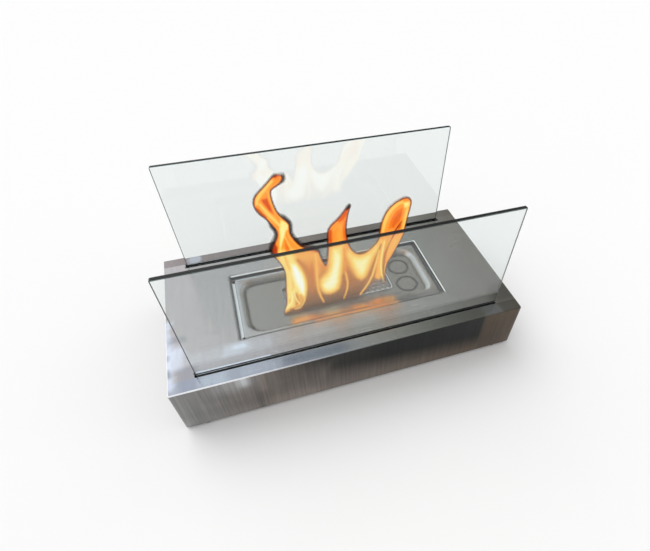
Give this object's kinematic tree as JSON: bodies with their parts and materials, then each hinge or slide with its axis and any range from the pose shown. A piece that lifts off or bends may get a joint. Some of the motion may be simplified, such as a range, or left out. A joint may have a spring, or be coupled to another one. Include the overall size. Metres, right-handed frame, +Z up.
{
  "type": "bioethanol fireplace",
  "caption": "Low brushed-steel tabletop fireplace with a lift-out bioethanol burner in a dished tray and a loose glass pane in a slot along each long side.",
  "frame": {"origin": "middle of the footprint, on the surface the feet stand on", "axes": "+Z up, +X along the length of the base, -Y the front"},
  "size_m": [0.35, 0.18, 0.18],
  "materials": {
    "brushed_steel": "satin",
    "burner_steel": "satin",
    "perforated_steel": "satin",
    "ceramic_wool": "matte",
    "clear_glass": "gloss",
    "silicone": "matte",
    "zinc_steel": "satin",
    "nut_steel": "satin",
    "foot_rubber": "matte"
  },
  "bodies": {
    "base": {"base_shell": "brushed_steel", "front_channel": "zinc_steel", "front_channel_nuts": "nut_steel", "front_liner": "silicone", "rear_channel": "zinc_steel", "rear_channel_nuts": "nut_steel", "rear_liner": "silicone", "foot_front_left": "foot_rubber", "foot_front_right": "foot_rubber", "foot_rear_left": "foot_rubber", "foot_rear_right": "foot_rubber"},
    "front_glass": {"front_glass": "clear_glass"},
    "rear_glass": {"rear_glass": "clear_glass"},
    "burner": {"burner_top": "burner_steel", "burner_tank": "burner_steel", "wick_block": "ceramic_wool", "wick_cover": "perforated_steel"}
  },
  "joints": [
    {"name": "front_glass_lift", "type": "slide", "parent": "base", "child": "front_glass", "axis": [0, 0, 1], "range_m": [0, 0.04]},
    {"name": "rear_glass_lift", "type": "slide", "parent": "base", "child": "rear_glass", "axis": [0, 0, 1], "range_m": [0, 0.04]},
    {"name": "burner_lift", "type": "slide", "parent": "base", "child": "burner", "axis": [0, 0, 1], "range_m": [0, 0.07]}
  ]
}
